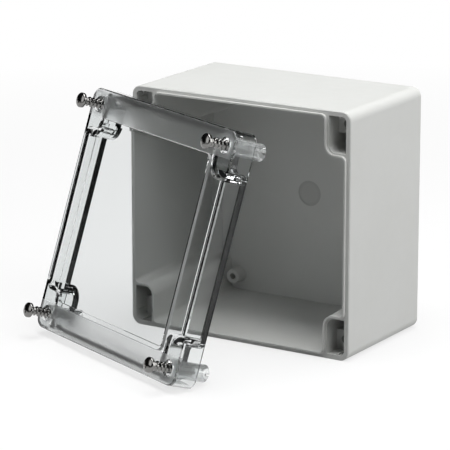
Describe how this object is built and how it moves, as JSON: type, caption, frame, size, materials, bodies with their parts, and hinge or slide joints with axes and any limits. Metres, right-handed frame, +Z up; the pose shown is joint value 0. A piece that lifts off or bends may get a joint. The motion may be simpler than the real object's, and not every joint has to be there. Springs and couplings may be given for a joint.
{
  "type": "electrical enclosure",
  "caption": "Wall-mounting plastic junction box with corner screw columns, its clear lid off and leaning on the front, lid screws backed out.",
  "frame": {"origin": "middle of the flat side that the box rests on, at the centre of its width and of its depth", "axes": "+Z up from the resting side, +Y from the open front to the back that goes on the wall, +X to the right as seen from the front"},
  "size_m": [0.2316, 0.2438, 0.18],
  "materials": {
    "grey_plastic": "matt moulded light grey",
    "clear_plastic": "clear, polished",
    "black_rubber": "matt",
    "stainless_steel": "bright, machined"
  },
  "bodies": {
    "box": {"enclosure_base": "grey_plastic"},
    "lid": {"lid": "clear_plastic", "lid_gasket": "black_rubber"},
    "screw_top_left": {"lid_screw_top_left": "stainless_steel"},
    "screw_top_right": {"lid_screw_top_right": "stainless_steel"},
    "screw_bottom_left": {"lid_screw_bottom_left": "stainless_steel"},
    "screw_bottom_right": {"lid_screw_bottom_right": "stainless_steel"}
  },
  "joints": [
    {"name": "lid_lift_off", "type": "slide", "parent": "box", "child": "lid", "axis": [-0.3794, -0.8751, 0.3004], "range_m": [0, 0.12]},
    {"name": "screw_top_left_drive", "type": "slide", "parent": "lid", "child": "screw_top_left", "axis": [0.3794, 0.8751, -0.3004], "range_m": [0, 0.0146]},
    {"name": "screw_top_right_drive", "type": "slide", "parent": "lid", "child": "screw_top_right", "axis": [0.3794, 0.8751, -0.3004], "range_m": [0, 0.0146]},
    {"name": "screw_bottom_left_drive", "type": "slide", "parent": "lid", "child": "screw_bottom_left", "axis": [0.3794, 0.8751, -0.3004], "range_m": [0, 0.0146]},
    {"name": "screw_bottom_right_drive", "type": "slide", "parent": "lid", "child": "screw_bottom_right", "axis": [0.3794, 0.8751, -0.3004], "range_m": [0, 0.0146]}
  ]
}
